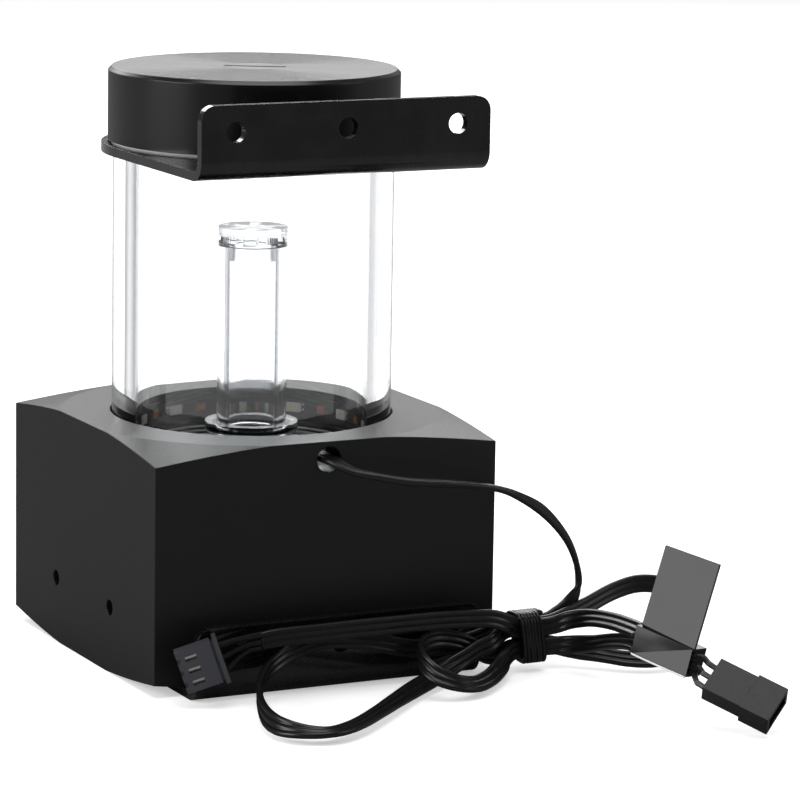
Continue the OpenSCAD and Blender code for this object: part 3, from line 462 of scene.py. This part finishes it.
def wound_tie():
    """The tie: a flat cable wound round the bundle. Its line goes round a rounded box section, and moves
    along the bundle by one pitch in each turn: x = start + pitch t, (y, z) = superellipse at angle tau t."""
    turns, middle = 3.2, np.array([43.6, -46.5, 7.2])
    half_depth, half_height, travel, slant = 3.15, 5.15, 4.6, 0.12
    t = np.linspace(0, turns, 180)
    a = math.tau * t + 0.6
    power = 0.5
    y = half_depth * np.sign(np.cos(a)) * np.abs(np.cos(a)) ** power
    z = half_height * np.sign(np.sin(a)) * np.abs(np.sin(a)) ** power
    x = (t / turns - 0.5) * travel - slant * z
    line = np.stack([x, y, z], 1) + middle
    line = (line[:-2] + line[1:-1] + line[2:]) / 3
    outward = unit((line - middle) * (0, 1, 1))
    points, faces = tube_of(carried(three_wire_profile(2.6, 1.0, 5), line, -outward))
    piece = lay("cable_tie_turns", "root", cable_skin, points, faces)
    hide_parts("cable_tie")


wound_tie()


# ---------------------------------------------------------------- fine pieces on the model

def thread_turns(name, radius, low, high, pitch, rise, body, finish):
    """Thread crest: a small triangle carried up a helix, radius + rise at its tip."""
    turns = (high - low) / pitch
    t = np.linspace(0, turns, int(96 * turns))
    a = math.tau * t
    base = pitch * 0.3
    profile = np.array([(-rise, -base), (rise, 0), (-rise, base)])
    r = radius + profile[None, :, 0] + 0 * t[:, None]
    grid = np.stack([r * np.cos(a)[:, None], r * np.sin(a)[:, None],
                     low + pitch * t[:, None] + profile[None, :, 1]], -1)
    points, faces = tube_of(grid)
    lay(name, body, finish, points, faces)


thread_turns("tube_foot_thread", 29.55, 39.5, 43.3, 0.95, 0.3, "root", thread_crest_highlight)


def quads_on_strip(name, places, width, height, radius, finish, z, bulge=0.0):
    """Small pads on the strip's inner face: each a 5 by 5 grid, curved with the strip and swollen by
    bulge (1 - u^2)(1 - v^2)."""
    u, v = np.meshgrid(np.linspace(-1, 1, 5), np.linspace(-1, 1, 5), indexing="ij")
    r = radius - bulge * (1 - u**2) * (1 - v**2)
    points, faces = [], []
    for k, (turn, lift) in enumerate(places):
        a = turn + u * width / 2 / radius
        points.append(np.stack([r * np.cos(a), r * np.sin(a), z + lift + v * height / 2], -1).reshape(-1, 3))
        faces.append(grid_faces(5, 5)[:, ::-1] + 25 * k)
    lay(name, "root", finish, np.vstack(points), np.vstack(faces))


LAMPS, LAMP_HEIGHT = 10, 46.7
LAMP_TURN = 16.7 / 32
lamp_turns = [math.pi / 2 + (k - (LAMPS - 1) / 2) * LAMP_TURN for k in range(LAMPS)]
quads_on_strip("lamp_phosphor", [(t, 0) for t in lamp_turns], 2.6, 1.3, 30.42, phosphor,
               LAMP_HEIGHT, 0.06)
pads = [(t + d, h) for t in lamp_turns for d in (-0.082, 0.082) for h in (-0.55, 0.55)]
quads_on_strip("strip_solder_pads", pads, 0.5, 0.45, 31.46, tin, LAMP_HEIGHT, 0.08)


def label_fold():
    """A painted highlight: a thin white strip carried along the sleeve's lower front edge, where the label
    folds.
    """
    line = np.linspace([50.02, -79.2, 10.35], [55.42, -91.9, 7.75], 24)
    bow = np.sin(np.linspace(0, math.pi, 24))[:, None] * np.array([-0.05, 0, -0.05])
    profile = np.array([(-0.28, -0.04), (0.28, -0.04), (0.28, 0.04), (-0.28, 0.04)])
    points, faces = tube_of(carried(profile, line + bow, (-1, -0.4, -0.6)))
    lay("label_fold_highlight", "root", fold_highlight, points, faces)


label_fold()


# ---------------------------------------------------------------- floor and light

GLOW = 0.42
PALE, DIM = (0.9, 0.9, 0.905), (0.2, 0.2, 0.2)


def floor():
    """Plain pale ground. Camera rays, and those through clear pieces, see it lifted towards white by a glow
    of its own, so the soft shadow stays; mirrored rays see it dim."""
    ground = Finish("floor", PALE, roughness=0.8, specular_ior_level=0.0)
    mesh = bpy.data.meshes.new("floor")
    mesh.from_pydata([(-4, -4, 0), (4, -4, 0), (4, 4, 0), (-4, 4, 0)], [], [(0, 1, 2, 3)])
    piece = bpy.data.objects.new("floor", mesh)
    bpy.context.scene.collection.objects.link(piece)
    wear(piece, ground)
    rays = ground.node("ShaderNodeLightPath", {}, {})
    ground.shader.inputs["Emission Color"].default_value = (0, 0, 0, 1)
    ground.shader.inputs["Emission Strength"].default_value = 1.0
    glow = ground.node("ShaderNodeMix", {"data_type": "RGBA"},
                       {0: (rays[0] + rays[6]).held(), 6: (0, 0, 0, 1), 7: (GLOW, GLOW, GLOW, 1)})
    ground.link("Emission Color", glow[2])
    seen = ground.node("ShaderNodeMix", {"data_type": "RGBA"},
                       {0: rays[3] * (1 - rays[6]), 6: (*PALE, 1), 7: (*DIM, 1)})
    ground.link("Base Color", seen[2])


def lamp(name, place, target, width, height, watts):
    light = bpy.data.lights.new(name, "AREA")
    light.shape, light.size, light.size_y, light.energy = "RECTANGLE", width, height, watts
    piece = bpy.data.objects.new(name, light)
    bpy.context.scene.collection.objects.link(piece)
    back = unit(np.array(place, float) - np.array(target, float))
    side = unit(np.cross((0, 0, 1), back))
    turn = np.eye(4)
    turn[:3, 0], turn[:3, 1], turn[:3, 2], turn[:3, 3] = side, np.cross(back, side), back, place
    piece.matrix_world = Matrix(turn.tolist())


def white_room(plain, mirrored, through_clear):
    """White to the camera; a plain level to matt surfaces, a lower one to shiny surfaces, and one of its own
    to rays that have come through the clear pieces."""
    world = bpy.data.worlds.new("room")
    bpy.context.scene.world = world
    world.use_nodes = True
    tree = world.node_tree
    tree.nodes.clear()
    out = tree.nodes.new("ShaderNodeOutputWorld")
    rays = tree.nodes.new("ShaderNodeLightPath")
    last = None
    for level, ray in ((plain, None), (mirrored, "Is Glossy Ray"), (through_clear, "Is Transmission Ray"),
                       (1.0, "Is Camera Ray")):
        shade = tree.nodes.new("ShaderNodeBackground")
        shade.inputs["Color"].default_value = (1, 1, 1, 1)
        shade.inputs["Strength"].default_value = level
        if ray:
            mix = tree.nodes.new("ShaderNodeMixShader")
            tree.links.new(rays.outputs[ray], mix.inputs[0])
            tree.links.new(last, mix.inputs[1])
            tree.links.new(shade.outputs[0], mix.inputs[2])
            last = mix.outputs[0]
        else:
            last = shade.outputs[0]
    tree.links.new(last, out.inputs[0])


CARD_AWAY, CARD_FOOT, CARD_TOP, CARD_POSTS = 230, 0.5, 260, 49
CARD_DARK, CARD_LIGHT = (0.22, 0.22, 0.225), (0.95, 0.95, 0.96)


def card(name, low, high):
    """A striped grey card bent about the upright axis from one bearing to another; only light that has come
    through the clear pieces sees it. The stripes are sines of the bearing."""
    a = np.radians(np.linspace(low, high, CARD_POSTS))
    points = np.concatenate([np.stack([CARD_AWAY * np.sin(a), CARD_AWAY * np.cos(a), 0 * a + z], 1)
                             for z in (CARD_FOOT, CARD_TOP)])
    grey = Finish(name, (0.4, 0.4, 0.41), roughness=1.0, specular_ior_level=0.0)
    x, y, _ = grey.axes()
    bearing = x.math("ARCTAN2", y)
    broad = (bearing * 11).math("SINE") * 0.5 + 0.5
    grey.tint(broad * 0.7 + (bearing * 27).math("SINE") * 0.15 + 0.15, CARD_DARK, CARD_LIGHT)
    piece = lay(name, "root", grey, points, grid_faces(2, CARD_POSTS))
    piece.visible_camera = piece.visible_diffuse = piece.visible_glossy = piece.visible_shadow = False


floor()
card("left card", -75, -14)
card("right card", 68, 128)
white_room(0.5, 0.1, 1.0)
lamp("left panel", (-1.2, 0.1, 0.5), (0, 0, 0.05), 0.8, 0.8, 9)
lamp("back panel", (0.35, 1.15, 0.75), (0, 0, 0.1), 1.4, 0.6, 12)
lamp("top", (0.0, -0.1, 1.3), (0, 0, 0.06), 0.9, 0.9, 7)
lamp("right", (1.1, -0.7, 0.6), (0, 0, 0.06), 0.5, 0.8, 2)
bpy.context.scene.view_settings.view_transform = "Standard"
